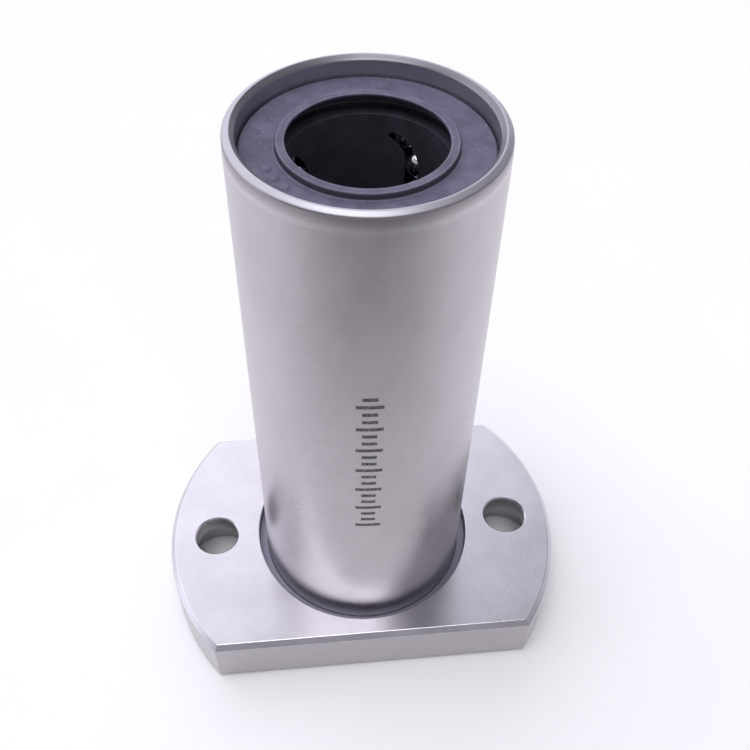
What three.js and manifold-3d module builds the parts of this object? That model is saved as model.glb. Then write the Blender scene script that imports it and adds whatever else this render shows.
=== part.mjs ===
// Linear ball bushing for a 12 mm shaft: long type, with a flange cut flat on two sides.
// Millimetres. The origin is the centre of the flange's outer face, +Z runs up the bore,
// +X goes through the two screw holes and +Y across the two flats.

import * as THREE from "three";
import { mergeVertices } from "three/addons/utils/BufferGeometryUtils.js";
import Module from "manifold-3d";

// Driving dimensions
const shaftRadius = 6;
const sleeveRadius = 10.5;
const sleeveLength = 57;
const flangeRadius = 21;
const flangeHalfWidth = 13.5;
const flangeThickness = 6;
const screwPitch = 32;
const ballRadius = 1.1906;
const circuitCount = 4;
const firstLoadRowAngle = THREE.MathUtils.degToRad(49);
const loadToReturnAngle = THREE.MathUtils.degToRad(40);
const ballPitch = 2.4;
const ballsInRow = 7;

// Sleeve
const raceRadius = 8.42;
const reliefRadius = 9.1;
const recessRadius = 9.5;
const recessDepth = 3.02;
const innerChamfer = 0.37;
const endFaceRadius = 10;
const shoulderRadius = 10.45;
const shoulderDepth = 0.27;
const sleeveEdge = 0.2;
const leadInHeight = 1.4;
const raceRamp = reliefRadius - raceRadius;
const returnGrooveRadius = 1.45;
const returnGrooveCentre = 7.62;
const grooveSetback = 1;
const landSetback = 0.2;

// Flange
const flangeChamfer = 0.5;
const rootGapRadius = 11.4;
const rootGapDepth = 1.2;
const screwHoleRadius = 2.25;
const counterboreRadius = 3.75;
const counterboreDepth = 4.1;
const pressFitGap = 0.02;
const cutPast = 1;

// Retainer
const retainerInnerRadius = 6.25;
const retainerOuterRadius = 8.28;
const retainerEndGap = 3.05;
const middleGap = 0.3;
const retainerLength = (sleeveLength - middleGap) / 2 - retainerEndGap;
const channelHalfWidth = 1.3;
const channelCorner = 0.53;
const channelHeight = 2.2;
const channelOverlap = 0.3;

// Side rings and seals, measured from the sleeve's end inwards
const sideRingInnerRadius = 7.1;
const fitRadius = 9.46;
const sideRingDepth = 3;
const sideRingThickness = 0.55;
const sealDepth = 2.4;
const sealFaceDepth = 1.65;
const sealEdge = 0.2;
const lipTopDepth = 1.15;
const lipShoulderDepth = 1.25;
const lipRadius = 6.02;
const lipOuterRadius = 6.75;
const lipEdge = 0.08;
const lipFlareRadius = 7.1;
const lipFlareDepth = 1.35;

// Ball circuits
const loadRowRadius = shaftRadius + ballRadius;
const returnRowRadius = 7.75;
const turnTilt = THREE.MathUtils.degToRad(10);
const turnStep = Math.PI / 3;
const ballsInTurn = 3;
const neckRadius = 0.3;
const neckLength = 0.9;
const straightLength = ballsInRow * ballPitch;
const ends = ["flange", "free"];
const retainerMiddles = {
  flange: retainerEndGap + retainerLength / 2,
  free: sleeveLength - retainerEndGap - retainerLength / 2,
};

// Facets: the sleeve and the flange share one count, so their facets line up
const roundFacets = 48;
const innerFacets = 36;
const holeFacets = 24;
const turnFacets = 16;
const grooveFacets = 16;
const ballFacets = 6;
const ballBands = 4;
const neckFacets = 4;
const arcFacets = 12;

const wasm = await Module();
wasm.setup();

const steel = { color: 0xa9a6ad, roughness: 0.32, metalness: 1 };
const flangeSteel = { color: 0xcac6d6, roughness: 0.22, metalness: 1 };
const ringSteel = { color: 0x8d8b92, roughness: 0.4, metalness: 1 };
const ballSteel = { color: 0xd8d8dc, roughness: 0.08, metalness: 1 };
const resin = { color: 0x24232b, roughness: 0.6, metalness: 0 };
const sealRubber = { color: 0x4b4857, roughness: 0.75, metalness: 0 };

// A geometry as a solid that can be cut and joined.
function solidOf(geometry, matrix = new THREE.Matrix4()) {
  const plain = geometry.clone().applyMatrix4(matrix);
  plain.deleteAttribute("normal");
  plain.deleteAttribute("uv");
  const merged = mergeVertices(plain);
  return new wasm.Manifold(
    new wasm.Mesh({
      numProp: 3,
      vertProperties: merged.attributes.position.array,
      triVerts: new Uint32Array(merged.index.array),
    }),
  );
}

function geometryOf(solid) {
  const { vertProperties, triVerts } = solid.getMesh();
  return new THREE.BufferGeometry()
    .setAttribute("position", new THREE.BufferAttribute(vertProperties, 3))
    .setIndex(new THREE.BufferAttribute(triVerts, 1));
}

function namedMesh(name, geometry, look) {
  const mesh = new THREE.Mesh(geometry, new THREE.MeshStandardMaterial(look));
  mesh.name = name;
  mesh.geometry.computeVertexNormals();
  return mesh;
}

// A profile of [radius, height] points turned round the Z axis.
function turned(points, facets = roundFacets) {
  const profile = points.map(([radius, height]) => new THREE.Vector2(radius, height));
  return new THREE.LatheGeometry(profile, facets).rotateX(Math.PI / 2);
}

// A closed ring: its outline is drawn up the outside and down the inside, and ends where it began.
function turnedRing(points, facets = roundFacets) {
  return turned([...points, points[0]], facets);
}

// An upright round bar from one height to another.
function roundBar(radius, bottom, top, facets) {
  return new THREE.CylinderGeometry(radius, radius, top - bottom, facets)
    .rotateX(Math.PI / 2)
    .translate(0, 0, (bottom + top) / 2);
}

function polar(radius, angle, height = 0) {
  return new THREE.Vector3(radius * Math.cos(angle), radius * Math.sin(angle), height);
}

// An outline given by depth below the free end of the sleeve, or mirrored to the flange end.
function placedAt(end, outline) {
  if (end === "flange") {
    return outline.toReversed();
  }
  return outline.map(([radius, depth]) => [radius, sleeveLength - depth]);
}

function rowAngles() {
  const step = (2 * Math.PI) / circuitCount;
  return Array.from({ length: circuitCount }, (_, index) => firstLoadRowAngle + index * step);
}

// The sleeve: raceway lands for the load rows, wider reliefs where the balls turn round,
// a recess at each end for the side ring and the seal, and lengthwise grooves for the return rows.
function outerSleeve() {
  const halfLand = straightLength / 2 - landSetback;
  const recess = [
    [recessRadius + innerChamfer, 0],
    [recessRadius, innerChamfer],
    [recessRadius, recessDepth],
    [reliefRadius, recessDepth],
  ];
  const land = (middle) => [
    [reliefRadius, middle + halfLand + raceRamp],
    [raceRadius, middle + halfLand],
    [raceRadius, middle - halfLand],
    [reliefRadius, middle - halfLand - raceRamp],
  ];
  const tube = solidOf(
    turnedRing([
      [sleeveRadius - sleeveEdge, 0],
      [sleeveRadius, sleeveEdge],
      [sleeveRadius, sleeveLength - leadInHeight],
      [shoulderRadius, sleeveLength - shoulderDepth],
      [endFaceRadius, sleeveLength],
      ...placedAt("free", recess),
      ...land(retainerMiddles.free),
      ...land(retainerMiddles.flange),
      ...placedAt("flange", recess),
    ]),
  );
  const grooveEnd = recessDepth + grooveSetback;
  const groove = roundBar(returnGrooveRadius, grooveEnd, sleeveLength - grooveEnd, grooveFacets);
  return geometryOf(
    rowAngles().reduce((sleeve, angle) => {
      const place = polar(returnGrooveCentre, angle + loadToReturnAngle);
      return sleeve.subtract(solidOf(groove, new THREE.Matrix4().setPosition(place)));
    }, tube),
  );
}

// The flange: a disc with two sides cut flat, edges chamfered, a gap turned around the sleeve's root,
// and two screw holes whose counterbores open on the outer face.
function flange() {
  const cornerAngle = Math.asin(flangeHalfWidth / flangeRadius);
  const outline = new THREE.Shape()
    .absarc(0, 0, flangeRadius, -cornerAngle, cornerAngle)
    .absarc(0, 0, flangeRadius, Math.PI - cornerAngle, Math.PI + cornerAngle);
  const plate = new THREE.ExtrudeGeometry(outline, {
    depth: flangeThickness - 2 * flangeChamfer,
    curveSegments: arcFacets,
    bevelThickness: flangeChamfer,
    bevelSize: flangeChamfer,
    bevelOffset: -flangeChamfer,
    bevelSegments: 1,
  }).translate(0, 0, flangeChamfer);
  const above = flangeThickness + cutPast;
  const sleeveBore = roundBar(sleeveRadius + pressFitGap, -cutPast, above, roundFacets);
  const rootGap = roundBar(rootGapRadius, flangeThickness - rootGapDepth, above, roundFacets);
  const screwHole = roundBar(screwHoleRadius, -cutPast, above, holeFacets);
  const counterbore = roundBar(counterboreRadius, -cutPast, counterboreDepth, holeFacets);
  let solid = solidOf(plate).subtract(solidOf(sleeveBore)).subtract(solidOf(rootGap));
  for (const side of [-1, 1]) {
    const move = new THREE.Matrix4().makeTranslation((side * screwPitch) / 2, 0, 0);
    solid = solid.subtract(solidOf(screwHole, move)).subtract(solidOf(counterbore, move));
  }
  return geometryOf(solid);
}

// Where one circuit runs, for a load row at the given angle: the two rows' places, the direction
// from one to the other, and the half circle that joins them at the top (+1) or the bottom (-1).
function circuitPath(angle) {
  const loadRow = polar(loadRowRadius, angle);
  const returnRow = polar(returnRowRadius, angle + loadToReturnAngle);
  const across = returnRow.clone().sub(loadRow).normalize();
  const outward = across.clone().cross(new THREE.Vector3(0, 0, 1));
  const turnRadius = loadRow.distanceTo(returnRow) / 2;
  const middle = loadRow.clone().add(returnRow).divideScalar(2);
  const turn = (side) => {
    const away = outward.clone().multiplyScalar(Math.sin(turnTilt));
    away.z = side * Math.cos(turnTilt);
    const centre = middle.clone().setZ((side * straightLength) / 2);
    return { towardsLoad: across.clone().negate(), away, centre };
  };
  return { angle, loadRow, returnRow, turnRadius, top: turn(1), bottom: turn(-1) };
}

// The ball channel's section: flat sides, a narrowing floor, and open outwards. The first number
// runs across the channel, the second outwards, both from the ball's centre.
function channelSection() {
  return [
    [channelHalfWidth, channelHeight],
    [-channelHalfWidth, channelHeight],
    [-channelHalfWidth, -channelCorner],
    [-channelCorner, -channelHalfWidth],
    [channelCorner, -channelHalfWidth],
    [channelHalfWidth, -channelCorner],
  ];
}

function straightChannel(row) {
  const section = new THREE.Shape(channelSection().map(([across, out]) => new THREE.Vector2(out, across)));
  const depth = straightLength + 2 * channelOverlap;
  const bar = new THREE.ExtrudeGeometry(section, { depth, bevelEnabled: false });
  bar.translate(0, 0, -depth / 2);
  const place = new THREE.Matrix4().makeRotationZ(Math.atan2(row.y, row.x)).setPosition(row);
  return solidOf(bar, place);
}

// The half ring of channel that joins the two straight ones: a full ring, kept on its outer side only.
function turnChannel(path, side) {
  const turn = side > 0 ? path.top : path.bottom;
  const section = channelSection().map(([across, out]) => new THREE.Vector2(path.turnRadius + across, out));
  const ring = new THREE.LatheGeometry([...section, section[0]], turnFacets);
  const reach = 2 * (path.turnRadius + channelHalfWidth);
  const halfSpace = new THREE.BoxGeometry(reach, reach, reach).translate(0, 0, (side * reach) / 2);
  const upward = turn.away.clone().multiplyScalar(side);
  const outward = upward.clone().cross(turn.towardsLoad);
  const place = new THREE.Matrix4().makeBasis(turn.towardsLoad, outward, upward).setPosition(turn.centre);
  return solidOf(ring, place).intersect(solidOf(halfSpace, place));
}

// A retainer, centred on its own middle: a moulded tube with one looped channel for each circuit.
function retainer() {
  const half = retainerLength / 2;
  const outline = [
    [retainerOuterRadius, -half],
    [retainerOuterRadius, half],
    [retainerInnerRadius, half],
    [retainerInnerRadius, -half],
  ];
  const channels = rowAngles().map(circuitPath).flatMap((path) => [
    straightChannel(path.loadRow),
    straightChannel(path.returnRow),
    turnChannel(path, 1),
    turnChannel(path, -1),
  ]);
  const tube = solidOf(turnedRing(outline, innerFacets));
  return geometryOf(channels.reduce((solid, channel) => solid.subtract(channel), tube));
}

// A flat washer on the sleeve's step: it keeps the retainer in and backs the seal.
function sideRing(end) {
  return turnedRing(
    placedAt(end, [
      [fitRadius, sideRingDepth],
      [fitRadius, sideRingDepth - sideRingThickness],
      [sideRingInnerRadius, sideRingDepth - sideRingThickness],
      [sideRingInnerRadius, sideRingDepth],
    ]),
    innerFacets,
  );
}

// The end seal: a moulded disc with a raised lip round the bore, thin at its edge and undercut below it.
function endSeal(end) {
  return turnedRing(
    placedAt(end, [
      [fitRadius, sealDepth],
      [fitRadius, sealFaceDepth + sealEdge],
      [fitRadius - sealEdge, sealFaceDepth],
      [lipOuterRadius, sealFaceDepth],
      [lipOuterRadius, lipShoulderDepth],
      [lipOuterRadius - lipEdge, lipTopDepth],
      [lipRadius, lipTopDepth],
      [lipRadius, lipFlareDepth],
      [lipFlareRadius, sealDepth],
    ]),
    innerFacets,
  );
}

// A straight row of balls, joined where they touch, from its lowest ball's centre at height 0 upwards.
function ballRow() {
  const outline = [[0, -ballRadius]];
  for (let ball = 0; ball < ballsInRow; ball += 1) {
    for (let band = 1; band < ballBands; band += 1) {
      const slope = (band * Math.PI) / ballBands;
      outline.push([ballRadius * Math.sin(slope), ball * ballPitch - ballRadius * Math.cos(slope)]);
    }
    if (ball < ballsInRow - 1) {
      outline.push([neckRadius, (ball + 0.5) * ballPitch]);
    }
  }
  outline.push([0, (ballsInRow - 1) * ballPitch + ballRadius]);
  return turned(outline, ballFacets);
}

// Three balls round a turn, joined where they touch. The turn's centre is at 0, its load side on +X,
// its far end on +Y, and the first ball stands at the given angle from the load side.
function ballTurn(radius, firstAngle) {
  const angles = Array.from({ length: ballsInTurn }, (_, index) => firstAngle + index * turnStep);
  const ball = new THREE.SphereGeometry(ballRadius, ballFacets, ballBands);
  const neck = new THREE.CylinderGeometry(neckRadius, neckRadius, neckLength, neckFacets);
  const balls = angles.map((angle) => solidOf(ball, new THREE.Matrix4().setPosition(polar(radius, angle))));
  const necks = angles.slice(1).map((angle) => {
    const between = angle - turnStep / 2;
    const place = polar(radius * Math.cos(turnStep / 2), between);
    return solidOf(neck, new THREE.Matrix4().makeRotationZ(between).setPosition(place));
  });
  return geometryOf([...balls, ...necks].reduce((joined, solid) => joined.add(solid)));
}

// The four ball trains of one circuit, in a group whose origin is the retainer's middle.
// They are shown with the load row's top ball at the end of its straight run.
function ballCircuit(end, index, angle) {
  const path = circuitPath(angle);
  const label = `${end}_${index + 1}`;
  const group = new THREE.Group();
  const lowestBall = -straightLength / 2;

  const loadRow = namedMesh(`load_row_${label}`, ballRow(), ballSteel);
  loadRow.position.copy(path.loadRow).setZ(lowestBall + ballPitch);
  loadRow.rotation.z = angle;

  const returnRow = namedMesh(`return_row_${label}`, ballRow(), ballSteel);
  returnRow.position.copy(path.returnRow).setZ(lowestBall);
  returnRow.rotation.z = angle + loadToReturnAngle;

  const turns = [
    ["top_turn", path.top, turnStep],
    ["bottom_turn", path.bottom, 0],
  ].map(([name, turn, firstAngle]) => {
    const mesh = namedMesh(`${name}_${label}`, ballTurn(path.turnRadius, firstAngle), ballSteel);
    const hinge = turn.towardsLoad.clone().cross(turn.away);
    mesh.position.copy(turn.centre);
    mesh.setRotationFromMatrix(new THREE.Matrix4().makeBasis(turn.towardsLoad, turn.away, hinge));
    return mesh;
  });
  group.add(loadRow, returnRow, ...turns);
  return group;
}

const bushing = new THREE.Group();
bushing.add(namedMesh("outer_sleeve", outerSleeve(), steel));
bushing.add(namedMesh("flange", flange(), flangeSteel));
for (const end of ends) {
  bushing.add(namedMesh(`side_ring_${end}`, sideRing(end), ringSteel));
  bushing.add(namedMesh(`end_seal_${end}`, endSeal(end), sealRubber));
  const cage = new THREE.Group();
  cage.position.z = retainerMiddles[end];
  cage.add(namedMesh(`retainer_${end}`, retainer(), resin));
  rowAngles().forEach((angle, index) => cage.add(ballCircuit(end, index, angle)));
  bushing.add(cage);
}

export default bushing;
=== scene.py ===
import math

import bmesh
import bpy
import numpy as np
from mathutils import Matrix, Vector


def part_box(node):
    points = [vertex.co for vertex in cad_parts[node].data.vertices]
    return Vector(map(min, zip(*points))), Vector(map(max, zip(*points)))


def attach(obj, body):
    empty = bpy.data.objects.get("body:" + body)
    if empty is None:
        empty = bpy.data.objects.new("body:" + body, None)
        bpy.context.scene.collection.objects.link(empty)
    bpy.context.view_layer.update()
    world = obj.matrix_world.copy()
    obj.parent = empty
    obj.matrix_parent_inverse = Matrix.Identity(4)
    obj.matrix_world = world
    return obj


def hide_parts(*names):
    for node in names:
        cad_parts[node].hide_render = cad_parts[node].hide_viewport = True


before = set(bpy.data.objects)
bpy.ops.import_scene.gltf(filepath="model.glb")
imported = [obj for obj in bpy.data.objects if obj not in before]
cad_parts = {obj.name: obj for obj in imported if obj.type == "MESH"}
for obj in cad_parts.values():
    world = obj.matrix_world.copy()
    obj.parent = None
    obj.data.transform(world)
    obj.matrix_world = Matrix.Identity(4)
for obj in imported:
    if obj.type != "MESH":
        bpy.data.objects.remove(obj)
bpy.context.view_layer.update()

mm = 0.001
ends = ("flange", "free")
circuits = (1, 2, 3, 4)
print("frame loaded:", len(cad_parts), "nodes")


# Shapes are worked out in millimetres. A grid holds x, y, z and an edge value, which is 1 on a
# broken edge and 0 elsewhere, for the wear in the materials.

def gridFaces(rows, columns, wrapRows, wrapColumns):
    # every quad of a grid of points numbered row by row; a wrapped side joins its last line to its first
    row = np.arange(rows if wrapRows else rows - 1)[:, None]
    column = np.arange(columns if wrapColumns else columns - 1)[None, :]
    nextRow, nextColumn = (row + 1) % rows, (column + 1) % columns
    corners = [row * columns + column, row * columns + nextColumn,
               nextRow * columns + nextColumn, nextRow * columns + column]
    return np.stack([corner + 0 * row * column for corner in corners], axis=-1).reshape(-1, 4)


def gridPiece(name, grids, weld=False):
    # grids is a list of (points, wrapRows, wrapColumns), and all of them become one mesh
    points, faces, count = [], [], 0
    for grid, wrapRows, wrapColumns in grids:
        points.append(grid.reshape(-1, 4))
        faces.append(gridFaces(grid.shape[0], grid.shape[1], wrapRows, wrapColumns) + count)
        count += grid.shape[0] * grid.shape[1]
    points, faces = np.concatenate(points), np.concatenate(faces)
    a, b, c, d = (points[faces[:, k], :3] for k in range(4))
    if np.einsum("ij,ij->i", a, np.cross(b, c) + np.cross(c, d)).sum() < 0:
        faces = faces[:, ::-1]
    mesh = bpy.data.meshes.new(name)
    mesh.from_pydata((points[:, :3] * mm).tolist(), [], faces.tolist())
    mesh.attributes.new("edgeWear", "FLOAT", "POINT").data.foreach_set("value", points[:, 3])
    if weld:
        shell = bmesh.new()
        shell.from_mesh(mesh)
        bmesh.ops.remove_doubles(shell, verts=shell.verts, dist=1e-6)
        bmesh.ops.recalc_face_normals(shell, faces=shell.faces)
        shell.to_mesh(mesh)
        shell.free()
    return shadedPiece(name, mesh)


def shadedPiece(name, mesh, sharpAngle=32):
    mesh.validate()
    mesh.shade_smooth()
    mesh.set_sharp_from_angle(angle=math.radians(sharpAngle))
    piece = bpy.data.objects.new(name, mesh)
    bpy.context.scene.collection.objects.link(piece)
    return piece


def brokenCorners(corners, closed=False, steps=4, support=0.12, supportShare=0.2):
    # an outline of (radius, height, break) points. A corner with a break becomes a small arc that
    # touches both its sides, and a support point past each end of the arc keeps the straight parts flat
    outline = []
    for k, corner in enumerate(corners):
        here = np.array(corner[:2], float)
        size = corner[2] if len(corner) > 2 else 0
        if not size or (not closed and k in (0, len(corners) - 1)):
            outline.append([(*here, 0)])
            continue
        sides = [np.array(corners[j % len(corners)][:2], float) - here for j in (k - 1, k + 1)]
        lengths = [np.linalg.norm(side) for side in sides]
        back, ahead = (side / length for side, length in zip(sides, lengths))
        half = math.acos(np.clip(back @ ahead, -1, 1)) / 2
        reach, sweep = size / math.tan(half), math.pi - 2 * half
        centre = here + (back + ahead) / np.linalg.norm(back + ahead) * size / math.sin(half)
        start, finish = here + back * reach - centre, here + ahead * reach - centre
        share = np.linspace(0, 1, steps + 1)[:, None]
        bent = np.sin((1 - share) * sweep) * start + np.sin(share * sweep) * finish
        arc = centre + bent / math.sin(sweep)
        past = [reach + min(support, supportShare * max(length - 2 * reach, 0)) for length in lengths]
        first, last = here + back * past[0], here + ahead * past[1]
        outline.append([(*first, 0), *[(*point, 1) for point in arc], (*last, 0)])
    return np.array([point for part in outline for point in part])


def revolved(outline, steps):
    # x = r cos a, y = r sin a: the outline's radius and height carried round the bore's axis
    angle = np.linspace(0, 2 * math.pi, steps, endpoint=False)[:, None]
    radius, height, edge = (outline[None, :, k] + 0 * angle for k in range(3))
    return np.stack([radius * np.cos(angle), radius * np.sin(angle), height, edge], axis=-1)


def atEnd(end, corners):
    # corners given by depth below the free end, put at that end or mirrored to the flange end
    if end == "flange":
        return [tuple(corner) for corner in corners[::-1]]
    return [(corner[0], sleeve["length"] - corner[1], *corner[2:]) for corner in corners]


# Materials. Each shared effect is a node group on Object coordinates in millimetres.

def addNode(tree, kind, **values):
    node = tree.nodes.new(kind)
    for key, value in values.items():
        setattr(node, key, value)
    return node


def feed(tree, socket, value):
    if isinstance(value, bpy.types.NodeSocket):
        tree.links.new(value, socket)
    else:
        socket.default_value = (*value, 1) if isinstance(value, tuple) and socket.type == "RGBA" else value


def maths(tree, operation, *values, clamp=False):
    node = addNode(tree, "ShaderNodeMath", operation=operation, use_clamp=clamp)
    for socket, value in zip(node.inputs, values):
        feed(tree, socket, value)
    return node.outputs[0]


def ease(tree, value, low, high, toLow=0.0, toHigh=1.0):
    node = addNode(tree, "ShaderNodeMapRange", interpolation_type="SMOOTHSTEP")
    labels = ("Value", "From Min", "From Max", "To Min", "To Max")
    for label, number in zip(labels, (value, low, high, toLow, toHigh)):
        feed(tree, node.inputs[label], number)
    return node.outputs["Result"]


def mixColour(tree, factor, first, second):
    node = addNode(tree, "ShaderNodeMix", data_type="RGBA")
    colours = [socket for socket in node.inputs if socket.type == "RGBA"]
    for socket, value in zip((node.inputs[0], *colours), (factor, first, second)):
        feed(tree, socket, value)
    return [socket for socket in node.outputs if socket.type == "RGBA"][0]


def objectPlace(tree):
    coordinates = addNode(tree, "ShaderNodeTexCoord")
    scaled = addNode(tree, "ShaderNodeVectorMath", operation="SCALE")
    scaled.inputs["Scale"].default_value = 1 / mm
    tree.links.new(coordinates.outputs["Object"], scaled.inputs[0])
    split = addNode(tree, "ShaderNodeSeparateXYZ")
    tree.links.new(scaled.outputs[0], split.inputs[0])
    return scaled.outputs[0], split.outputs


def fromAxis(tree):
    # the distance from the bore's axis, in millimetres
    axes = objectPlace(tree)[1]
    squares = [maths(tree, "MULTIPLY", axes[k], axes[k]) for k in (0, 1)]
    return maths(tree, "SQRT", maths(tree, "ADD", *squares))


def noise(tree, vector, scale, detail=2.0, roughness=0.5, stretch=(1, 1, 1)):
    mapping = addNode(tree, "ShaderNodeMapping")
    mapping.inputs["Scale"].default_value = stretch
    tree.links.new(vector, mapping.inputs["Vector"])
    node = addNode(tree, "ShaderNodeTexNoise")
    tree.links.new(mapping.outputs[0], node.inputs["Vector"])
    for label, value in (("Scale", scale), ("Detail", detail), ("Roughness", roughness)):
        feed(tree, node.inputs[label], value)
    return node.outputs[0]


def effectGroup(name, inputs, outputs, build):
    # a node group with number inputs and value outputs, filled in by build(tree, given, place, axes)
    group = bpy.data.node_groups.new(name, "ShaderNodeTree")
    for label, default in inputs.items():
        socket = group.interface.new_socket(label, in_out="INPUT", socket_type="NodeSocketFloat")
        socket.default_value = default
    for label in outputs:
        group.interface.new_socket(label, in_out="OUTPUT", socket_type="NodeSocketFloat")
    given, out = group.nodes.new("NodeGroupInput"), group.nodes.new("NodeGroupOutput")
    place, axes = objectPlace(group)
    for label, socket in zip(outputs, build(group, given.outputs, place, axes)):
        group.links.new(socket, out.inputs[label])
    return group


def grindingNodes(tree, given, place, axes):
    # fine lines that run round the axis: noise squeezed along z, so that it has no seam
    fine = noise(tree, place, given["Density"], 3, 0.6, (0.04, 0.04, 2.2))
    coarse = noise(tree, place, given["Density"], 2, 0.5, (0.02, 0.02, 0.4))
    lines = maths(tree, "ADD", maths(tree, "MULTIPLY", fine, 0.7), maths(tree, "MULTIPLY", coarse, 0.3))
    return lines, noise(tree, place, 0.16, 4, 0.6, (1, 1, 0.6))


def turningNodes(tree, given, place, axes):
    # concentric tool marks on a flat face: noise read along the distance from the axis
    along = addNode(tree, "ShaderNodeCombineXYZ")
    tree.links.new(fromAxis(tree), along.inputs[0])
    tree.links.new(axes[2], along.inputs[1])
    return noise(tree, along.outputs[0], given["Density"], 3, 0.6), noise(tree, place, 0.2, 4, 0.6)


def scratchNodes(tree, given, place, axes):
    # sparse hairlines in three directions: the crests of a wavy band pattern, kept in short stretches
    masks = []
    for turn in (0.5, -0.9, 1.9):
        turned = addNode(tree, "ShaderNodeVectorRotate", rotation_type="EULER_XYZ")
        turned.inputs["Rotation"].default_value = (turn, turn * 0.7, turn * 1.3)
        tree.links.new(place, turned.inputs["Vector"])
        bands = addNode(tree, "ShaderNodeTexWave", wave_type="BANDS", bands_direction="X")
        tree.links.new(turned.outputs[0], bands.inputs["Vector"])
        for label, value in (("Scale", 0.16), ("Distortion", 2.5), ("Detail", 1.0), ("Detail Scale", 0.12)):
            bands.inputs[label].default_value = value
        crest = ease(tree, bands.outputs["Fac"], 0.9994, 0.9999)
        stretch = ease(tree, noise(tree, turned.outputs[0], 1.0, 1, 0.5, (1.3, 0.35, 0.35)), 0.58, 0.66)
        masks.append(maths(tree, "MULTIPLY", crest, stretch))
    total = maths(tree, "ADD", maths(tree, "ADD", masks[0], masks[1]), masks[2], clamp=True)
    return [maths(tree, "MULTIPLY", total, given["Amount"])]


def dustNodes(tree, given, place, axes):
    # small specks: the middle of each cell, where a wider noise allows it
    cells = addNode(tree, "ShaderNodeTexVoronoi", feature="F1")
    tree.links.new(place, cells.inputs["Vector"])
    tree.links.new(given["Density"], cells.inputs["Scale"])
    speck = ease(tree, cells.outputs["Distance"], given["Size"], maths(tree, "MULTIPLY", given["Size"], 0.4))
    return [maths(tree, "MULTIPLY", speck, ease(tree, noise(tree, place, 0.35, 2), 0.48, 0.62))]


def grainNodes(tree, given, place, axes):
    # the fine grain of a moulded face, and slow cloudiness under it
    return noise(tree, place, given["Density"], 4, 0.65), noise(tree, place, 0.5, 3, 0.6)


def wearNodes(tree, given, place, axes):
    # rubbed edges: the edge value of the mesh, broken up by noise
    edge = addNode(tree, "ShaderNodeAttribute", attribute_name="edgeWear").outputs["Fac"]
    patches = ease(tree, noise(tree, place, given["Density"], 4, 0.6), 0.35, 0.65, 0.45, 1.0)
    return [maths(tree, "MULTIPLY", maths(tree, "MULTIPLY", edge, patches), given["Amount"])]


effects = {
    "grindingLines": ({"Density": 6.0}, ("Height", "Smudge"), grindingNodes),
    "turningMarks": ({"Density": 5.0}, ("Height", "Smudge"), turningNodes),
    "hairScratches": ({"Amount": 0.5}, ("Mask",), scratchNodes),
    "dustSpecks": ({"Density": 2.2, "Size": 0.05}, ("Mask",), dustNodes),
    "mouldedGrain": ({"Density": 9.0}, ("Height", "Cloud"), grainNodes),
    "edgeWear": ({"Density": 1.5, "Amount": 0.6}, ("Mask",), wearNodes),
}
groups = {name: effectGroup(name, *parts) for name, parts in effects.items()}


def placeGroup(tree, name, **values):
    node = addNode(tree, "ShaderNodeGroup", node_tree=groups[name])
    for label, value in values.items():
        node.inputs[label].default_value = value
    return node.outputs


def startMaterial(name, look):
    material = bpy.data.materials.new(name)
    material.use_nodes = True
    shader = material.node_tree.nodes["Principled BSDF"]
    shader.inputs["Metallic"].default_value = look["metallic"]
    return material, material.node_tree, shader


def finishMaterial(tree, shader, colour, rough, height, depth):
    tree.links.new(colour, shader.inputs["Base Color"])
    tree.links.new(rough, shader.inputs["Roughness"])
    bump = addNode(tree, "ShaderNodeBump")
    bump.inputs["Distance"].default_value = depth * mm
    tree.links.new(height, bump.inputs["Height"])
    tree.links.new(bump.outputs[0], shader.inputs["Normal"])


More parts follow.
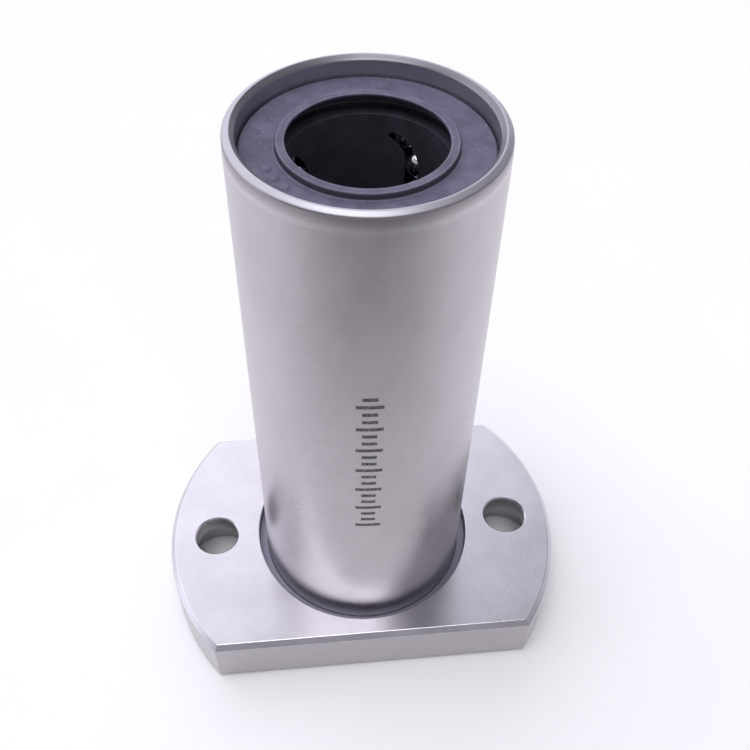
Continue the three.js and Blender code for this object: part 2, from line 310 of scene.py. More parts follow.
def machinedSteel(name, look, mark=None):
    # steel whose tone and roughness drift slowly; tool lines, scratches and rubbed edges lie over that.
    # Then come the parts that only some looks have: the free end's lead-in, land and chamfer, the
    # flange's sides, and the gap round the sleeve's root; the chamfer and the gap get painted shade
    material, tree, shader = startMaterial(name, look)
    lines = placeGroup(tree, look["lines"], Density=look["density"])
    hairs = placeGroup(tree, "hairScratches", Amount=look["scratches"])["Mask"]
    worn = placeGroup(tree, "edgeWear", Amount=look["wear"])["Mask"]
    colour = mixColour(tree, ease(tree, lines["Smudge"], 0.3, 0.7), look["dark"], look["light"])
    streaks = ease(tree, lines["Height"], 0.25, 0.75, 0.0, look["streak"])
    colour = mixColour(tree, streaks, colour, look["bright"])
    colour = mixColour(tree, maths(tree, "MAXIMUM", hairs, worn), colour, look["bright"])
    rough = ease(tree, lines["Smudge"], 0.25, 0.75, *look["roughness"])
    rough = maths(tree, "ADD", rough, maths(tree, "MULTIPLY", lines["Height"], look["lineRoughness"]))
    if "endFrom" in look:
        z, radius = objectPlace(tree)[1][2], fromAxis(tree)
        inLead = maths(tree, "MULTIPLY", ease(tree, z, look["endFrom"], look["shoulderAt"]),
                       maths(tree, "GREATER_THAN", radius, look["leadOutside"]))
        inEnd = ease(tree, z, look["shoulderAt"], look["shoulderAt"] + 0.05)
        nearTop = ease(tree, z, look["shoulderAt"] - 0.15, look["shoulderAt"] - 0.07)
        nearBore = ease(tree, radius, look["chamferTo"] + 0.03, look["chamferTo"] - 0.03)
        inShadedChamfer = maths(tree, "MULTIPLY", nearTop, nearBore)
        colour = mixColour(tree, inLead, colour, look["leadColour"])
        colour = mixColour(tree, inEnd, colour, look["endColour"])
        # painted shade: the bore's chamfer at the free end is coloured dark in place of its dim reflection
        colour = mixColour(tree, inShadedChamfer, colour, look["chamferShadeColour"])
        rough = maths(tree, "ADD", rough, maths(tree, "MULTIPLY", inEnd, look["endRougher"]))
    if "sideTop" in look:
        onSide = ease(tree, objectPlace(tree)[1][2], look["sideTop"] + 0.02, look["sideTop"] - 0.02)
        colour = mixColour(tree, onSide, colour, look["sideColour"])
    # painted shade: the gap round the sleeve's root is coloured dark for the shade between flange and sleeve
    if "gapRadius" in look:
        inside = ease(tree, fromAxis(tree), look["gapRadius"] + 0.03, look["gapRadius"] - 0.03)
        above = maths(tree, "GREATER_THAN", objectPlace(tree)[1][2], look["gapFrom"])
        inShadedGap = maths(tree, "MULTIPLY", inside, above)
        colour = mixColour(tree, inShadedGap, colour, look["gapShadeColour"])
        rough = maths(tree, "ADD", rough, maths(tree, "MULTIPLY", inShadedGap, look["gapRougher"]))
    if mark:
        mask = markMask(tree, mark)
        colour = mixColour(tree, mask, colour, mark["colour"])
        rough = maths(tree, "ADD", rough, maths(tree, "MULTIPLY", mask, 0.25))
    height = maths(tree, "SUBTRACT", lines["Height"], maths(tree, "MULTIPLY", hairs, look["scratchDepth"]))
    finishMaterial(tree, shader, colour, rough, height, look["depth"])
    return material


def mouldedSkin(name, look):
    # moulded resin or rubber: fine grain, cloudy tone, a little dust, and painted shade on the wall outside
    # a lip
    material, tree, shader = startMaterial(name, look)
    shader.inputs["Specular IOR Level"].default_value = look["specular"]
    skin = placeGroup(tree, "mouldedGrain", Density=look["density"])
    specks = placeGroup(tree, "dustSpecks", Density=look["dustDensity"], Size=look["dustSize"])["Mask"]
    worn = placeGroup(tree, "edgeWear", Amount=look["wear"])["Mask"]
    colour = mixColour(tree, ease(tree, skin["Cloud"], 0.3, 0.7), look["dark"], look["light"])
    colour = mixColour(tree, ease(tree, skin["Height"], 0.45, 0.7, 0.0, 0.5), colour, look["light"])
    colour = mixColour(tree, worn, colour, look["rubbed"])
    colour = mixColour(tree, maths(tree, "MULTIPLY", specks, look["dust"]), colour, look["dustColour"])
    # painted shade: the lip's outer wall is coloured dark for the shade in the crease beside it
    if "lipWallShade" in look:
        height = maths(tree, "ABSOLUTE", maths(tree, "SUBTRACT", objectPlace(tree)[1][2], look["middle"]))
        radius = fromAxis(tree)
        parts = [ease(tree, radius, look["wallAt"] - 0.09, look["wallAt"] - 0.05),
                 ease(tree, radius, look["wallAt"] + 0.06, look["wallAt"] + 0.02),
                 ease(tree, height, look["wallFrom"] + 0.01, look["wallFrom"] + 0.07)]
        onShadedWall = maths(tree, "MULTIPLY", maths(tree, "MULTIPLY", parts[0], parts[1]), parts[2])
        colour = mixColour(tree, onShadedWall, colour, look["lipWallShade"])
    rough = ease(tree, skin["Height"], 0.3, 0.7, *look["roughness"])
    finishMaterial(tree, shader, colour, rough, skin["Height"], look["depth"])
    return material


def finishPiece(piece, body, material, slot, *nodes):
    piece.data.materials.clear()
    piece.data.materials.append(material)
    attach(piece, body)
    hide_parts(*nodes)
    print("made", piece.name, len(piece.data.polygons), "faces")


# Ball circuits: the rows' places come from the frame, the turns from the rows.

circuit = {
    "ballRadius": 1.1906,
    "rowBalls": 7,
    "turnBalls": 3,
    "turnTilt": math.radians(10),
    "turnStep": math.radians(60),
    "firstTurnBall": {"top": 1, "bottom": 0},   # in steps from the load row
    "around": 16,
    "upward": 10,
}
ballLook = {
    "metallic": 1, "density": 3.0, "dark": (0.74, 0.74, 0.77), "light": (0.86, 0.86, 0.88),
    "roughness": (0.05, 0.12), "depth": 0.0003,
}


def rowPlace(kind, end, index):
    # a straight row's place across the bore, and its lowest and highest ball centres
    low, high = (np.array(corner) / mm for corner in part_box(f"{kind}_row_{end}_{index}"))
    return (low + high)[:2] / 2, low[2] + circuit["ballRadius"], high[2] - circuit["ballRadius"]


def straightRun(end):
    # the two heights where the rows end and the turns begin
    return rowPlace("return", end, 1)[1], rowPlace("load", end, 1)[2]


def turnPath(end, index, part, alpha):
    # the half circle from the load row round to the return row: middle - R cos(alpha) across
    # + R sin(alpha) away, where away is up (or down) and leans outwards by the tilt
    (load, *_), (back, *_) = rowPlace("load", end, index), rowPlace("return", end, index)
    side, height = (1, straightRun(end)[1]) if part == "top" else (-1, straightRun(end)[0])
    across = np.append((back - load) / np.linalg.norm(back - load), 0)
    away = math.sin(circuit["turnTilt"]) * np.cross(across, (0, 0, 1))
    away[2] = side * math.cos(circuit["turnTilt"])
    radius = np.linalg.norm(back - load) / 2
    middle = np.append((load + back) / 2, height)
    alpha = np.asarray(alpha)[:, None]
    place = middle + radius * (np.sin(alpha) * away - np.cos(alpha) * across)
    return place, np.cos(alpha) * away + np.sin(alpha) * across


def polishedBall(name, look):
    # lapped steel: nearly a mirror, with a film of oil that drifts the tone and the roughness
    material, tree, shader = startMaterial(name, look)
    skin = placeGroup(tree, "mouldedGrain", Density=look["density"])
    colour = mixColour(tree, ease(tree, skin["Cloud"], 0.3, 0.7), look["dark"], look["light"])
    rough = ease(tree, skin["Cloud"], 0.3, 0.7, *look["roughness"])
    finishMaterial(tree, shader, colour, rough, skin["Height"], look["depth"])
    return material


def makeBalls(name, centres, material):
    # one sphere for each centre: radius cos(latitude) round the circle, radius sin(latitude) up
    latitude = np.linspace(-math.pi / 2, math.pi / 2, circuit["upward"] + 1)
    outline = np.stack([np.cos(latitude), np.sin(latitude), 0 * latitude], axis=-1) * circuit["ballRadius"]
    ball = revolved(outline, circuit["around"])
    grids = [(ball + np.append(centre, 0), True, False) for centre in centres]
    finishPiece(gridPiece(name + "_balls", grids, weld=True), name, material, "ball_steel", name)


ballSteel = polishedBall("lappedBallSteel", ballLook)
for end in ends:
    for index in circuits:
        for kind in ("load", "return"):
            across, low, high = rowPlace(kind, end, index)
            heights = np.linspace(low, high, circuit["rowBalls"])
            centres = [np.append(across, height) for height in heights]
            makeBalls(f"{kind}_row_{end}_{index}", centres, ballSteel)
        for part, first in circuit["firstTurnBall"].items():
            alpha = (np.arange(circuit["turnBalls"]) + first) * circuit["turnStep"]
            makeBalls(f"{part}_turn_{end}_{index}", turnPath(end, index, part, alpha)[0], ballSteel)


# Outer sleeve

sleeve = {
    "radius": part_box("outer_sleeve")[1].x / mm,
    "length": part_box("outer_sleeve")[1].z / mm,
    "race": 8.42,           # raceway lands, where the load rows run
    "relief": 9.1,          # wider bore where the balls turn round
    "recess": 9.5,          # end recess for the side ring and the seal
    "recessDepth": 3.02,
    "innerChamfer": 0.37,
    "footChamfer": 0.2,
    "endFace": 10.0,        # the end face slopes down from here to the shoulder
    "shoulder": 10.45,
    "shoulderDepth": 0.27,
    "leadIn": 1.4,          # height of the slight taper below the free end
    "landSetback": 0.2,
    "grooveRadius": 1.45,   # lengthwise grooves for the return rows
    "grooveCentre": 7.62,
    "steps": 360,
}
sleeveMark = {
    "azimuth": math.radians(-93.2), "low": 21.4, "high": 39.6, "pitch": 0.91, "thickness": 0.4,
    "narrow": 1.3, "wide": 2.3, "colour": (0.12, 0.115, 0.13),
}
sleeveLook = {
    "metallic": 1, "lines": "grindingLines", "density": 6.0,
    "scratches": 0.02, "scratchDepth": 0.1, "wear": 0.3,
    "dark": (0.45, 0.425, 0.445), "light": (0.51, 0.485, 0.505), "bright": (0.72, 0.7, 0.72),
    "streak": 0.12, "roughness": (0.23, 0.31), "lineRoughness": 0.06, "depth": 0.0013,
    "endFrom": sleeve["length"] - sleeve["leadIn"], "shoulderAt": sleeve["length"] - sleeve["shoulderDepth"],
    "leadColour": (0.3, 0.28, 0.3), "endColour": (0.44, 0.43, 0.485), "endRougher": 0.15,
    "leadOutside": sleeve["endFace"], "chamferTo": sleeve["recess"] + sleeve["innerChamfer"],
    # the chamfer colour is painted shade for the dim bore chamfer at the free end
    "chamferShadeColour": (0.23, 0.22, 0.25),
}


def markMask(tree, mark):
    # a ladder of plain bars up the sleeve's side: every third one is wide, as on a scale
    place, (x, y, z) = objectPlace(tree)
    aside = maths(tree, "SUBTRACT", maths(tree, "ARCTAN2", y, x), mark["azimuth"])
    across = maths(tree, "ABSOLUTE", maths(tree, "MULTIPLY", aside, sleeve["radius"]))
    count = maths(tree, "DIVIDE", maths(tree, "SUBTRACT", z, mark["low"]), mark["pitch"])
    third = maths(tree, "LESS_THAN", maths(tree, "MODULO", maths(tree, "FLOOR", count), 3), 0.5)
    extra = maths(tree, "MULTIPLY", third, (mark["wide"] - mark["narrow"]) / 2)
    inside = maths(tree, "SUBTRACT", maths(tree, "ADD", extra, mark["narrow"] / 2), across)
    fromBar = maths(tree, "ABSOLUTE", maths(tree, "SUBTRACT", maths(tree, "FRACT", count), 0.5))
    half = mark["thickness"] / mark["pitch"] / 2
    masks = [
        ease(tree, inside, -0.03, 0.05),
        ease(tree, fromBar, half + 0.03, half - 0.03),
        maths(tree, "GREATER_THAN", z, mark["low"]),
        maths(tree, "LESS_THAN", z, mark["high"]),
        ease(tree, noise(tree, place, 5, 3, 0.6), 0.3, 0.55, 0.65, 1.0),
    ]
    mask = masks[0]
    for factor in masks[1:]:
        mask = maths(tree, "MULTIPLY", mask, factor)
    return mask


def makeSleeve():
    # the section carried round the axis; the bore also clears each return groove, so its radius is
    # the larger of the section's and the groove's far wall, c cos(a) + sqrt(g^2 - c^2 sin(a)^2)
    ramp = sleeve["relief"] - sleeve["race"]
    recess = [
        (sleeve["recess"] + sleeve["innerChamfer"], 0, 0.06),
        (sleeve["recess"], sleeve["innerChamfer"], 0.12),
        (sleeve["recess"], sleeve["recessDepth"], 0.05),
        (sleeve["relief"], sleeve["recessDepth"], 0.05),
    ]
    corners = [
        (sleeve["radius"] - sleeve["footChamfer"], 0, 0.08), (sleeve["radius"], sleeve["footChamfer"], 0.12),
        (sleeve["radius"], sleeve["length"] - sleeve["leadIn"], 9),
        (sleeve["shoulder"], sleeve["length"] - sleeve["shoulderDepth"], 0.3),
        (sleeve["endFace"], sleeve["length"], 0.25), *atEnd("free", recess),
    ]
    for end in reversed(ends):
        low, high = straightRun(end)
        low, high = low + sleeve["landSetback"], high - sleeve["landSetback"]
        corners += [(sleeve["relief"], high + ramp, 0.1), (sleeve["race"], high, 0.1),
                    (sleeve["race"], low, 0.1), (sleeve["relief"], low - ramp, 0.1)]
    outline = brokenCorners(corners + atEnd("flange", recess), closed=True, steps=3)
    grid = revolved(outline, sleeve["steps"])
    angle, radius = np.arctan2(grid[..., 1], grid[..., 0]), np.hypot(grid[..., 0], grid[..., 1])
    bore = outline[None, :, 0] < sleeve["relief"] - 0.001
    for index in circuits:
        x, y = rowPlace("return", "free", index)[0]
        aside = (angle - math.atan2(y, x) + math.pi) % (2 * math.pi) - math.pi
        reach = sleeve["grooveRadius"] ** 2 - (sleeve["grooveCentre"] * np.sin(aside)) ** 2
        wall = sleeve["grooveCentre"] * np.cos(aside) + np.sqrt(np.maximum(reach, 0))
        radius = np.where(bore & (reach > 0) & (np.abs(aside) < 1), np.maximum(radius, wall), radius)
    grid[..., 0], grid[..., 1] = radius * np.cos(angle), radius * np.sin(angle)
    steel = machinedSteel("groundSleeveSteel", sleeveLook, sleeveMark)
    tube = gridPiece("sleeve_tube", [(grid, True, True)])
    finishPiece(tube, "housing", steel, "sleeve_steel", "outer_sleeve")


makeSleeve()


# Flange

flange = {
    "radius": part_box("flange")[1].x / mm,
    "halfWidth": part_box("flange")[1].y / mm,
    "thickness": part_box("flange")[1].z / mm,
    "chamfer": 0.5,
    "holeX": 16,            # the screw holes stand at plus and minus this
    "hole": 2.25,
    "counterbore": 3.75,
    "counterboreDepth": 4.1,
    "bore": 10.52,
    "rootGap": 11.4,        # gap turned round the sleeve's root
    "rootGapDepth": 1.2,
    "splitAngle": math.radians(42),   # where the end sectors, one round each hole, meet the middle
    "splitX": 14.9,
    "holeChamfer": 0.15,
    "margin": 0.15,         # how far a face's smooth border runs on past a corner of the bore or a hole
    "rimMargin": 0.2,       # and past the rim's chamfer
}
flangeSteps = {"arc": 96, "corner": 3, "side": 60, "middle": 12, "sector": 9}
flangeLook = {
    "metallic": 1, "lines": "turningMarks", "density": 8.0,
    "scratches": 0.15, "scratchDepth": 0.03, "wear": 0.2,
    "dark": (0.58, 0.565, 0.62), "light": (0.64, 0.625, 0.69), "bright": (0.8, 0.79, 0.84),
    "streak": 0.12, "roughness": (0.16, 0.23), "lineRoughness": 0.06, "depth": 0.011,
    "sideTop": flange["thickness"] - flange["chamfer"], "sideColour": (0.47, 0.45, 0.465),
    "gapRadius": flange["rootGap"], "gapFrom": flange["thickness"] - flange["rootGapDepth"] - 0.1,
    # the gap colour is painted shade between the flange and the sleeve
    "gapShadeColour": (0.25, 0.245, 0.31), "gapRougher": 0.3,
}


def flangeRim(inset, height, edge=0):
    # a circle cut by two flats, all moved inwards by inset, from the lower end of the +X arc round to
    # it again: the +X arc, the +Y flat, and both once more turned by half a turn
    radius, half = flange["radius"] - inset, flange["halfWidth"] - inset
    corner = math.asin(half / radius)
    cornerX, splitX = radius * math.cos(corner), flange["splitX"]
    arc = np.linspace(-corner, corner, flangeSteps["arc"] + 1)
    outer = np.linspace(cornerX, splitX, flangeSteps["corner"] + 1)
    inner = np.linspace(splitX, -splitX, flangeSteps["side"] + 1)
    flat = np.concatenate([outer[1:], inner[1:], -outer[-2:0:-1]])
    x = np.concatenate([radius * np.cos(arc), flat])
    y = np.concatenate([radius * np.sin(arc), np.full_like(flat, half)])
    x, y = np.concatenate([x, -x]), np.concatenate([y, -y])
    return np.stack([x, y, np.full_like(x, height), np.full_like(x, edge)], axis=-1)


def flangeArc(radius, height, first, last, edge=0):
    angle = np.linspace(first, last, flangeSteps["side"] + 1)
    flat = [np.full_like(angle, value) for value in (height, edge)]
    return np.stack([radius * np.cos(angle), radius * np.sin(angle), *flat], axis=-1)


def between(first, second, steps):
    # straight lines from each point of one loop to the same point of the other
    share = np.linspace(0, 1, steps)[:, None, None]
    return first * (1 - share) + second * share


def halfTurned(grid):
    return grid * np.array([-1, -1, 1, 1])


def makeFlange():
    # each outline runs from the top face to the lower one; the rim's is in steps inwards from the edge
    top, chamfer, margin = flange["thickness"], flange["chamfer"], flange["margin"]
    gapFloor, holeEdge = top - flange["rootGapDepth"], flange["holeChamfer"]
    split, rest = flange["splitAngle"], math.pi - flange["splitAngle"]
    rim = brokenCorners([(chamfer + flange["rimMargin"], top), (chamfer, top, 0.1), (0, top - chamfer, 0.1),
                         (0, chamfer, 0.1), (chamfer, 0, 0.1), (chamfer + flange["rimMargin"], 0)])
    bore = brokenCorners([(flange["rootGap"] + margin, top), (flange["rootGap"], top, 0.08),
                          (flange["rootGap"], gapFloor, 0.1), (flange["bore"], gapFloor, 0.04),
                          (flange["bore"], 0, 0.04), (flange["bore"] + margin, 0)])
    hole = brokenCorners([(flange["hole"] + holeEdge + margin, top), (flange["hole"] + holeEdge, top, 0.04),
                          (flange["hole"], top - holeEdge, 0.04),
                          (flange["hole"], flange["counterboreDepth"], 0.04),
                          (flange["counterbore"], flange["counterboreDepth"], 0.06),
                          (flange["counterbore"], 0, 0.08), (flange["counterbore"] + margin, 0)])
    stretches = ((-split, split), (split, rest))
    quarter = np.stack([
        np.concatenate([flangeArc(radius, height, *stretch, edge)[:-1] for stretch in stretches])
        for radius, height, edge in bore
    ])
    grids = [(np.stack([flangeRim(*point) for point in rim]), False, True),
             (np.concatenate([quarter, halfTurned(quarter)], axis=1), False, True)]
    around = None
    sideCount = flangeSteps["arc"] + 1 + 2 * flangeSteps["corner"]
    for level, face in enumerate((0, -1)):
        height = (top, 0)[level]
        # the rim's loop, turned back so that it starts at the lower split point
        loop = np.roll(flangeRim(rim[face][0], height), flangeSteps["corner"], axis=0)
        sideEdge, middleEdge = loop[:sideCount], loop[sideCount - 1:sideCount + flangeSteps["side"]]
        sideArc = flangeArc(bore[face][0], height, -split, split)
        middle = between(flangeArc(bore[face][0], height, split, rest), middleEdge, flangeSteps["middle"])
        upperLine = between(sideArc[-1:], sideEdge[-1:], flangeSteps["middle"])[:, 0]
        lowerLine = between(sideArc[:1], sideEdge[:1], flangeSteps["middle"])[:, 0]
        border = np.concatenate([sideEdge[:-1], upperLine[:0:-1], sideArc[:0:-1], lowerLine[:-1]])
        if around is None:
            angle = np.arctan2(border[:, 1], border[:, 0] - flange["holeX"])
            around = np.stack([np.cos(angle), np.sin(angle), 0 * angle, 0 * angle], axis=-1)
        edge = np.array([flange["holeX"], 0, height, 0]) + hole[face][0] * around
        sector = between(border, edge, flangeSteps["sector"])
        grids += [(middle, False, False), (halfTurned(middle), False, False),
                  (sector, False, True), (halfTurned(sector), False, True)]
    wall = np.stack([np.array([flange["holeX"], 0, height, edge]) + radius * around
                     for radius, height, edge in hole])
    grids += [(wall, False, True), (halfTurned(wall), False, True)]
    steel = machinedSteel("polishedFlangeSteel", flangeLook)
    finishPiece(gridPiece("flange_plate", grids, weld=True), "housing", steel, "flange_steel", "flange")


makeFlange()


# Side rings and end seals

ringSize = {"outer": 9.46, "inner": 7.1, "far": 3.0, "near": 2.45}
ringLook = {
    "metallic": 1, "lines": "turningMarks", "density": 5.0,
    "scratches": 0.3, "scratchDepth": 0.3, "wear": 0.4,
    "dark": (0.07, 0.068, 0.075), "light": (0.1, 0.098, 0.108), "bright": (0.22, 0.215, 0.23),
    "streak": 0.2, "roughness": (0.34, 0.44), "lineRoughness": 0.06, "depth": 0.003,
}
seal = {
    "outer": 9.46,
    "depth": 2.4,
    "face": 1.65,
    "edge": 0.2,
    "lipOuter": 6.75,
    "lipShoulder": 1.25,
    "lipTop": 1.15,
    "lip": 6.02,
    "lipEdge": 0.08,
    "flare": 7.1,           # the lip is undercut out to here at the back of the seal
    "flareDepth": 1.35,
    "steps": 480,
    "stepFrom": math.radians(32),    # a stretch of the lip's top stands a little lower
    "stepTo": math.radians(150),
    "stepDrop": 0.06,
    "stepRises": (0.03, 0.2),        # how far round each end of it slopes, in radians
    "pips": (-161, -151.5, -142),    # round moulded pips, degrees round the face
    "pipPlace": 7.9,
    "pipRadius": 0.5,
    "pipHeight": 0.15,
    "pipSlope": 0.35,                # share of the pip's radius that slopes
    "faceInset": 0.1,                # the face's rings of points start this far inside its outer edge
    "creaseInset": 0.25,             # and stop this far outside the lip
    "faceRings": 30,
    "crease": 0.03,
}
sealLook = {
    "metallic": 0, "density": 8.0, "dark": (0.088, 0.082, 0.132), "light": (0.138, 0.129, 0.2),
    "rubbed": (0.22, 0.21, 0.3), "wear": 0.5, "dustDensity": 2.6, "dustSize": 0.15, "dust": 0.9,
    "dustColour": (0.55, 0.54, 0.62), "roughness": (0.6, 0.72), "specular": 0.3, "depth": 0.02,
    "middle": sleeve["length"] / 2, "wallAt": seal["lipOuter"],
    # the lip's wall colour is painted shade
    "wallFrom": sleeve["length"] / 2 - seal["face"], "lipWallShade": (0.05, 0.046, 0.068),
}


def makeRing(end, steel):
    size = ringSize
    corners = [(size["outer"], size["far"], 0.05), (size["outer"], size["near"], 0.05),
               (size["inner"], size["near"], 0.05), (size["inner"], size["far"], 0.05)]
    grid = revolved(brokenCorners(atEnd(end, corners), closed=True), 240)
    ring = gridPiece(f"side_ring_{end}_disc", [(grid, True, True)])
    finishPiece(ring, "housing", steel, "ring_steel", f"side_ring_{end}")


def makeSeal(end, rubber):
    # the section carried round the axis; the lip's top drops over one stretch, and each pip lifts the
    # face by h (1 - d / r) / slope held between 0 and h, where d is the distance from the pip's centre
    size = seal
    faceRadii = np.linspace(size["outer"] - size["edge"] - size["faceInset"],
                            size["lipOuter"] + size["creaseInset"], size["faceRings"])
    corners = [
        (size["outer"], size["depth"], 0.05), (size["outer"], size["face"] + size["edge"], 0.08),
        (size["outer"] - size["edge"], size["face"], 0.08),
        *[(radius, size["face"]) for radius in faceRadii],
        (size["lipOuter"] + size["crease"], size["face"], 0.12),
        (size["lipOuter"], size["lipShoulder"], 0.05),
        (size["lipOuter"] - size["lipEdge"], size["lipTop"], 0.1), (size["lip"], size["lipTop"], 0.07),
        (size["lip"], size["flareDepth"], 0.05), (size["flare"], size["depth"], 0.05),
    ]
    outline = brokenCorners(corners, closed=True)
    grid = revolved(outline, size["steps"])
    angle, depth = np.arctan2(grid[..., 1], grid[..., 0]), grid[..., 2]
    radius = outline[None, :, 0] + 0 * angle
    turn = (angle - size["stepFrom"]) % (2 * math.pi)
    span = size["stepTo"] - size["stepFrom"]
    rise, fall = size["stepRises"]
    inStep = np.clip(turn / rise, 0, 1) * np.clip((span - turn) / fall, 0, 1)
    onLip = np.clip((size["lipShoulder"] - depth) / (size["lipShoulder"] - size["lipTop"]), 0, 1)
    lift = -size["stepDrop"] * inStep * onLip
    for pip in size["pips"]:
        bearing = math.radians(pip)
        gone = np.hypot(radius * np.cos(angle) - size["pipPlace"] * math.cos(bearing),
                        radius * np.sin(angle) - size["pipPlace"] * math.sin(bearing)) / size["pipRadius"]
        onFace = depth < size["face"] + 0.01
        lift = lift + size["pipHeight"] * np.clip((1 - gone) / size["pipSlope"], 0, 1) * onFace
    depth = depth - lift
    grid[..., 2] = depth if end == "flange" else sleeve["length"] - depth
    disc = gridPiece(f"end_seal_{end}_disc", [(grid, True, True)])
    finishPiece(disc, "housing", rubber, "seal_rubber", f"end_seal_{end}")


ringSteel = machinedSteel("blankedRingSteel", ringLook)
sealRubber = mouldedSkin("mouldedSealRubber", sealLook)
for end in ends:
    makeRing(end, ringSteel)
    makeSeal(end, sealRubber)


# Retainers: a tube with one looped, round-bottomed channel for each circuit

retainer = {
    "inner": 6.25,
    "outer": 8.28,
    "endBreak": 0.05,
    "channel": 1.205,        # radius of the channel's floor, from the balls' centre line
    "channelHeight": 2.3,
    "floorSteps": 16,
    "turnSteps": 28,
    "steps": 288,
}
resinLook = {
    "metallic": 0, "density": 6.0, "dark": (0.04, 0.037, 0.05), "light": (0.06, 0.056, 0.078),
    "rubbed": (0.04, 0.038, 0.05), "wear": 0.4, "dustDensity": 1.6, "dustSize": 0.05, "dust": 0.3,
    "dustColour": (0.3, 0.3, 0.36), "roughness": (0.45, 0.58), "specular": 0.35, "depth": 0.006,
}


def channelLoop(end, index):
    # a U section carried round the circuit: its middle is the balls' path, and its outward side turns
    # evenly from the load row's own outward direction to the return row's
    (load, *_), (back, *_) = rowPlace("load", end, index), rowPlace("return", end, index)
    alpha = np.linspace(0, math.pi, retainer["turnSteps"] + 1)
    topPlace, topAlong = turnPath(end, index, "top", alpha)
    lowPlace, lowAlong = turnPath(end, index, "bottom", alpha[::-1])
    place, along = np.concatenate([topPlace, lowPlace]), np.concatenate([topAlong, -lowAlong])
    share = np.concatenate([alpha, alpha[::-1]])[:, None] / math.pi
    outwards = [np.append(row / np.linalg.norm(row), 0) for row in (load, back)]
    out = (1 - share) * outwards[0] + share * outwards[1]
    out = out - along * np.sum(out * along, axis=1, keepdims=True)
    out = out / np.linalg.norm(out, axis=1, keepdims=True)
    aside = np.cross(along, out)
    bend = np.linspace(math.pi, 2 * math.pi, retainer["floorSteps"] + 1)
    width = np.append(np.cos(bend), (1, -1)) * retainer["channel"]
    height = np.append(np.sin(bend) * retainer["channel"], (retainer["channelHeight"],) * 2)
    section = np.stack([width, height], axis=-1)
    grid = place[:, None] + section[None, :, :1] * aside[:, None] + section[None, :, 1:] * out[:, None]
    return np.concatenate([grid, np.zeros((*grid.shape[:2], 1))], axis=-1)


def makeRetainers(resin):
    # the channels are cut out of the free end's tube, and the other retainer is the same one lower down
    low, high = (corner.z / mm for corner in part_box("retainer_free"))
    edge = retainer["endBreak"]
    corners = [(retainer["outer"], low, edge), (retainer["outer"], high, edge),
               (retainer["inner"], high, edge), (retainer["inner"], low, edge)]
    grid = revolved(brokenCorners(corners, closed=True), retainer["steps"])
    tube = gridPiece("retainer_free_tube", [(grid, True, True)])
    for index in circuits:
        cutter = gridPiece("channel_cutter", [(channelLoop("free", index), True, True)])
        cut = tube.modifiers.new("channel", "BOOLEAN")
        cut.operation, cut.solver, cut.object = "DIFFERENCE", "EXACT", cutter
        bpy.context.view_layer.update()
        whole = bpy.data.meshes.new_from_object(tube.evaluated_get(bpy.context.evaluated_depsgraph_get()))
        tube.modifiers.clear()
        tube.data = whole
        bpy.data.objects.remove(cutter)
    mesh = tube.data
    bpy.data.objects.remove(tube)
    lower = mesh.copy()
    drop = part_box("retainer_flange")[0].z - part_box("retainer_free")[0].z
    lower.transform(Matrix.Translation(Vector((0, 0, drop))))
    for end, shape in zip(ends, (lower, mesh)):
        cage = shadedPiece(f"retainer_{end}_cage", shape)
        finishPiece(cage, "housing", resin, "cage_resin", f"retainer_{end}")


makeRetainers(mouldedSkin("mouldedCageResin", resinLook))


# Studio: a pale floor, a soft sun overhead, a small lamp in front, a room that is bright behind the
# object and dim before it, and a dark card in front that only reflections see

studio = {
    "floorSize": 6.0, "floorDrop": 0.02 * mm, "floorColour": (0.87, 0.866, 0.892), "floorRoughness": 0.8,
    "sunPower": 1.36, "sunAngle": math.radians(42), "sunTilt": (math.radians(9), math.radians(-9), 0),
    "lampPlace": (0.038, -0.231, 0.441), "lampSize": 0.15, "lampPower": 0.13, "lampAim": (0, 0, 0.01),
    "roomColour": (0.95, 0.93, 1.0), "roomPlain": 0.95,
    "roomDim": 0.42, "roomBright": 1.62,
    "brightSide": (-0.53, 0.85, 0.0), "dimUpTo": 0.12, "brightFrom": 0.64,
    "cardSize": 0.5, "cardLift": 0.3 * mm, "cardDepth": 0.66,
    "cardBearing": (math.radians(95), math.radians(5)), "cardNear": (18, 75),
}
camera = {
    "target": (0.952, -0.113, 30.634), "azimuth": math.radians(-6.788), "elevation": math.radians(47.456),
    "distance": 85.88, "roll": math.radians(1.51), "lens": 44.92, "sensor": 36,
}


def plainFloor():
    half = studio["floorSize"] / 2
    mesh = bpy.data.meshes.new("studio_floor")
    corners = [(-half, -half), (half, -half), (half, half), (-half, half)]
    mesh.from_pydata([(x, y, -studio["floorDrop"]) for x, y in corners], [], [(0, 1, 2, 3)])
    material = bpy.data.materials.new("paleFloor")
    material.use_nodes = True
    tree = material.node_tree
    shader = tree.nodes["Principled BSDF"]
    place, axes = objectPlace(tree)
    soft = ease(tree, noise(tree, place, 0.05, 3), 0.3, 0.7)
    paler = tuple(0.99 * value for value in studio["floorColour"])
    tree.links.new(mixColour(tree, soft, studio["floorColour"], paler), shader.inputs["Base Color"])
    shader.inputs["Roughness"].default_value = studio["floorRoughness"]
    shader.inputs["Specular IOR Level"].default_value = 0.2
    mesh.materials.append(material)
    floor = bpy.data.objects.new("studio_floor", mesh)
    bpy.context.scene.collection.objects.link(floor)


def softLights():
    sun = bpy.data.lights.new("overhead_sun", "SUN")
    sun.energy, sun.angle = studio["sunPower"], studio["sunAngle"]
    lamp = bpy.data.lights.new("front_lamp", "AREA")
    lamp.shape, lamp.size, lamp.energy = "DISK", studio["lampSize"], studio["lampPower"]
    for light in (sun, lamp):
        bpy.context.scene.collection.objects.link(bpy.data.objects.new(light.name, light))
    bpy.data.objects["overhead_sun"].rotation_euler = studio["sunTilt"]
    away = Vector(studio["lampPlace"]) - Vector(studio["lampAim"])
    bpy.data.objects["front_lamp"].location = studio["lampPlace"]
    bpy.data.objects["front_lamp"].rotation_euler = away.to_track_quat("Z", "Y").to_euler()


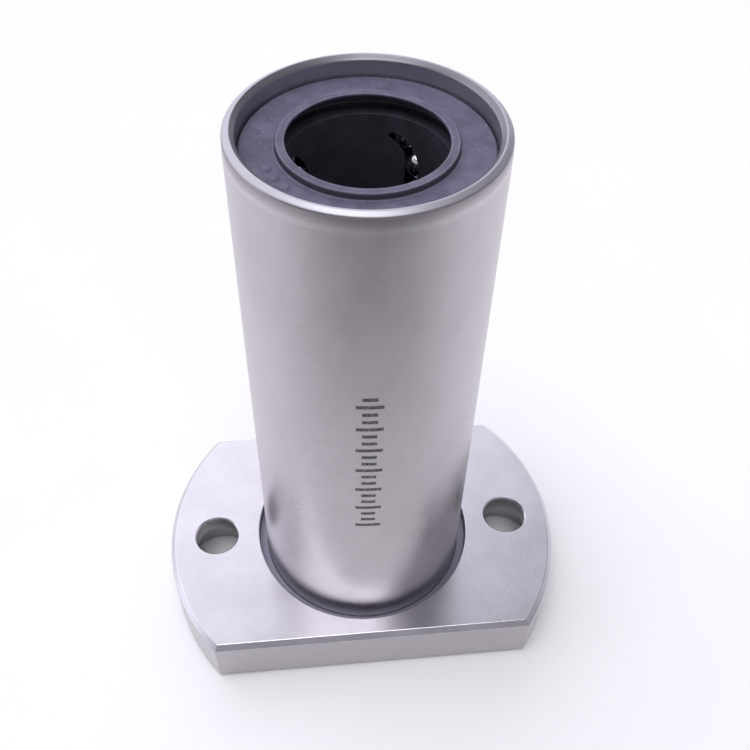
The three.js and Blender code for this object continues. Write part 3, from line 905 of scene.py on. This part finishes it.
def paleRoom():
    # strength = dim to bright by how far a direction points to the bright side; seen directly it is plain
    world = bpy.data.worlds.new("paleRoom")
    world.use_nodes = True
    tree = world.node_tree
    background = tree.nodes["Background"]
    background.inputs["Color"].default_value = (*studio["roomColour"], 1)
    towards = addNode(tree, "ShaderNodeVectorMath", operation="DOT_PRODUCT")
    tree.links.new(addNode(tree, "ShaderNodeTexCoord").outputs["Generated"], towards.inputs[0])
    towards.inputs[1].default_value = studio["brightSide"]
    light = ease(tree, towards.outputs["Value"], studio["dimUpTo"], studio["brightFrom"],
                 studio["roomDim"], studio["roomBright"])
    seen = addNode(tree, "ShaderNodeLightPath").outputs["Is Camera Ray"]
    shown = maths(tree, "ADD", maths(tree, "MULTIPLY", seen, studio["roomPlain"]),
                  maths(tree, "MULTIPLY", maths(tree, "SUBTRACT", 1.0, seen), light))
    tree.links.new(shown, background.inputs["Strength"])
    bpy.context.scene.world = world


def darkCard():
    # its darkness fades to both sides by the bearing from straight in front, and towards the object
    half = studio["cardSize"] / 2
    mesh = bpy.data.meshes.new("front_card")
    corners = [(-half, -2 * half), (half, -2 * half), (half, 0), (-half, 0)]
    mesh.from_pydata([(*corner, studio["cardLift"]) for corner in corners], [], [(0, 1, 2, 3)])
    material = bpy.data.materials.new("darkCard")
    material.use_nodes = True
    tree = material.node_tree
    shader = tree.nodes["Principled BSDF"]
    shader.inputs["Base Color"].default_value = (0.02, 0.02, 0.02, 1)
    shader.inputs["Specular IOR Level"].default_value = 0
    x, y, z = objectPlace(tree)[1]
    bearing = maths(tree, "ABSOLUTE", maths(tree, "ARCTAN2", x, maths(tree, "MULTIPLY", y, -1.0)))
    distance = fromAxis(tree)
    aside = ease(tree, bearing, *studio["cardBearing"])
    outward = ease(tree, distance, *studio["cardNear"], 0.0, studio["cardDepth"])
    tree.links.new(maths(tree, "MULTIPLY", aside, outward), shader.inputs["Alpha"])
    mesh.materials.append(material)
    card = bpy.data.objects.new("front_card", mesh)
    bpy.context.scene.collection.objects.link(card)
    card.visible_camera = card.visible_diffuse = card.visible_shadow = card.visible_transmission = False


def placeCamera():
    # it looks along -back at the target, turned by the roll about its own line of sight
    azimuth, elevation, roll = camera["azimuth"], camera["elevation"], camera["roll"]
    level = math.cos(elevation)
    back = Vector((math.sin(azimuth) * level, -math.cos(azimuth) * level, math.sin(elevation)))
    aside = Vector((0, 0, 1)).cross(back).normalized()
    upright = back.cross(aside)
    right = math.cos(roll) * aside + math.sin(roll) * upright
    up = math.cos(roll) * upright - math.sin(roll) * aside
    lens = bpy.data.cameras.new("studio_camera")
    lens.lens, lens.sensor_width = camera["lens"], camera["sensor"]
    lens.clip_start, lens.clip_end = 0.005, 20
    seat = bpy.data.objects.new("studio_camera", lens)
    place = (Vector(camera["target"]) + back * camera["distance"]) * mm
    seat.matrix_world = Matrix.Translation(place) @ Matrix((right, up, back)).transposed().to_4x4()
    bpy.context.scene.collection.objects.link(seat)
    bpy.context.scene.camera = seat


plainFloor()
softLights()
paleRoom()
darkCard()
bpy.context.scene.view_settings.view_transform = "Standard"
placeCamera()
print("studio ready")
